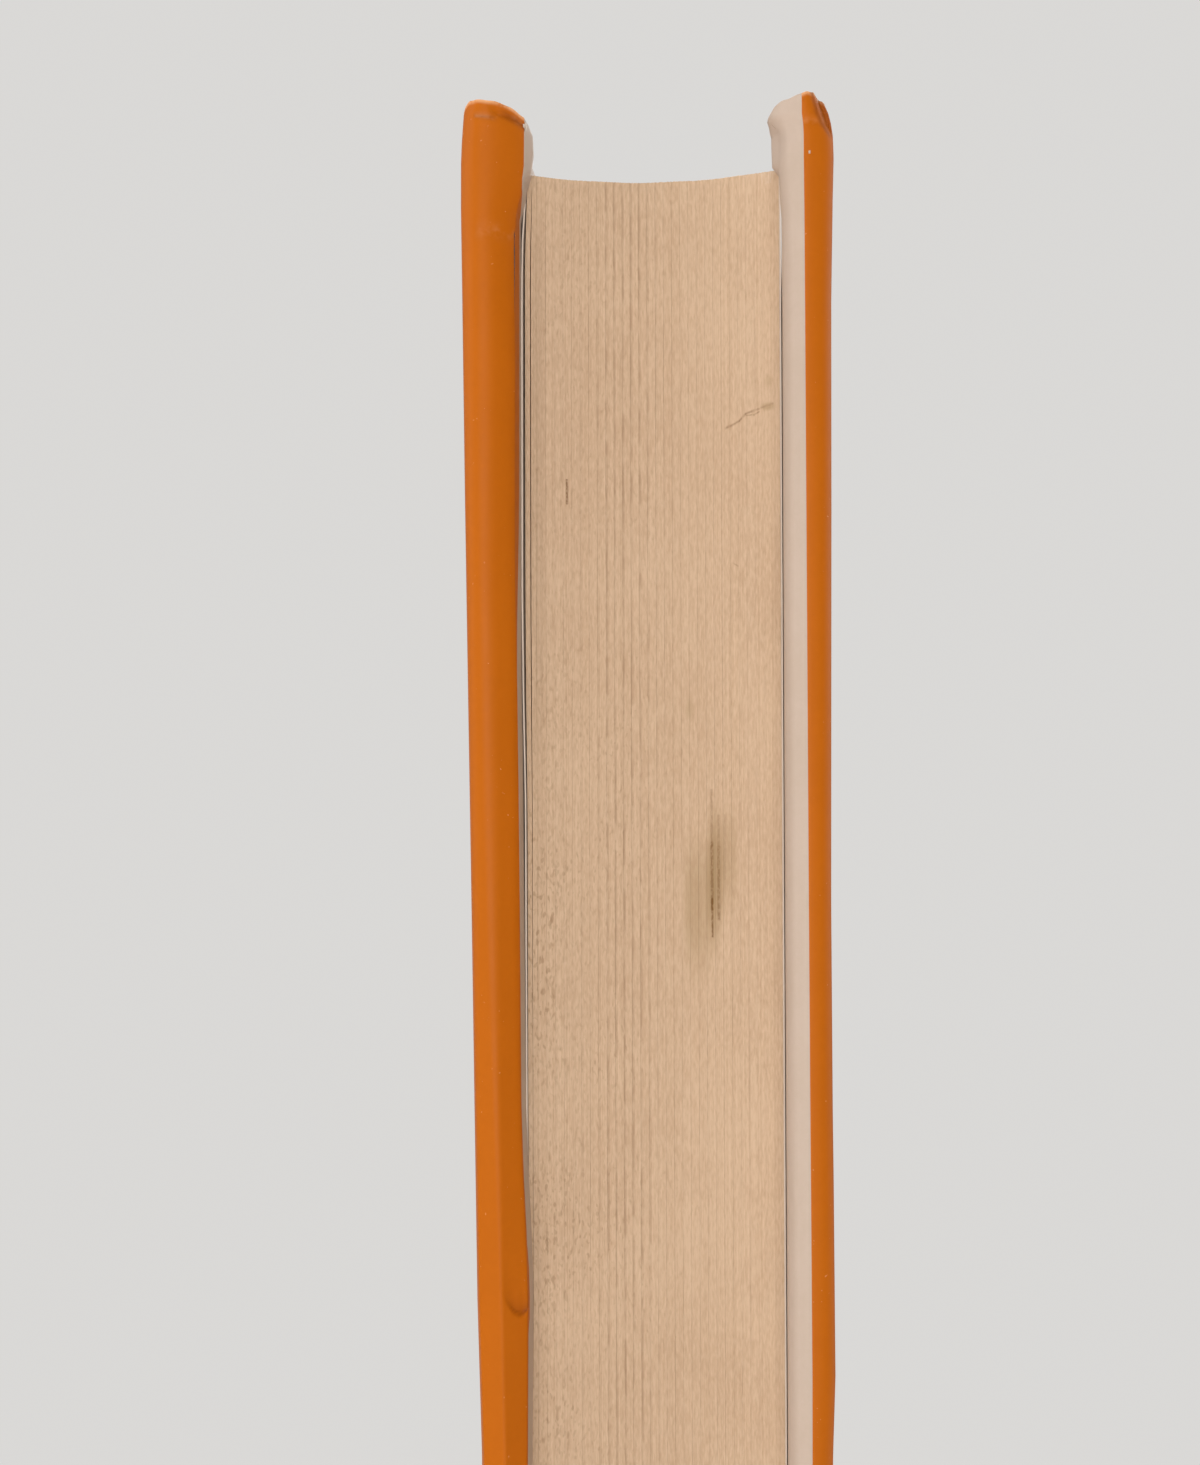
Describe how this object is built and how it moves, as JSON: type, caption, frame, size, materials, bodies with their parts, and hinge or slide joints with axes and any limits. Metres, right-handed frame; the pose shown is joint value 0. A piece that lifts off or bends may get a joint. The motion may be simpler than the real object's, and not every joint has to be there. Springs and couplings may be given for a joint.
{
  "type": "hardcover book",
  "caption": "Case-bound hardcover book with rounded spine, hollowed fore-edge and hinged covers, wrapped in a plain orange paper dust jacket with white flaps.",
  "frame": {"origin": "middle of the book's outline on the plane of its tail, where it stands", "axes": "+Z from tail to head, fore-edge towards -Y, spine towards +Y, front cover on -X"},
  "size_m": [0.0372, 0.165, 0.2375],
  "materials": {
    "page_paper": "uncoated cream book paper, lightly soiled on the fore-edge",
    "endpaper": "smooth off-white uncoated paper",
    "jacket_orange": "coated paper with a satin film, rubbed at the edges",
    "case_cloth": "plain dark book cloth",
    "greyboard": "raw grey board",
    "mull": "starched open gauze",
    "headband": "woven two-tone band"
  },
  "bodies": {
    "book_block": {"text_block": "page_paper", "front_flyleaf": "endpaper", "back_flyleaf": "endpaper", "spine_mull": "mull", "headband": "headband", "tailband": "headband", "spine_strip": "greyboard", "spine_cloth": "case_cloth", "jacket_spine": "jacket_orange"},
    "front_cover": {"front_board": "greyboard", "front_cloth": "case_cloth", "front_mull_wing": "mull", "front_pastedown": "endpaper", "jacket_front": "jacket_orange"},
    "back_cover": {"back_board": "greyboard", "back_cloth": "case_cloth", "back_mull_wing": "mull", "back_pastedown": "endpaper", "jacket_back": "jacket_orange"}
  },
  "joints": [
    {"name": "front_hinge", "type": "hinge", "parent": "book_block", "child": "front_cover", "pos_m": [-0.01569, 0.07406, 0.1175], "axis": [0, 0, -1], "range_deg": [0, 178], "deforming": ["jacket_spine"]},
    {"name": "back_hinge", "type": "hinge", "parent": "book_block", "child": "back_cover", "pos_m": [0.01669, 0.07406, 0.1175], "axis": [0, 0, 1], "range_deg": [0, 178]}
  ]
}
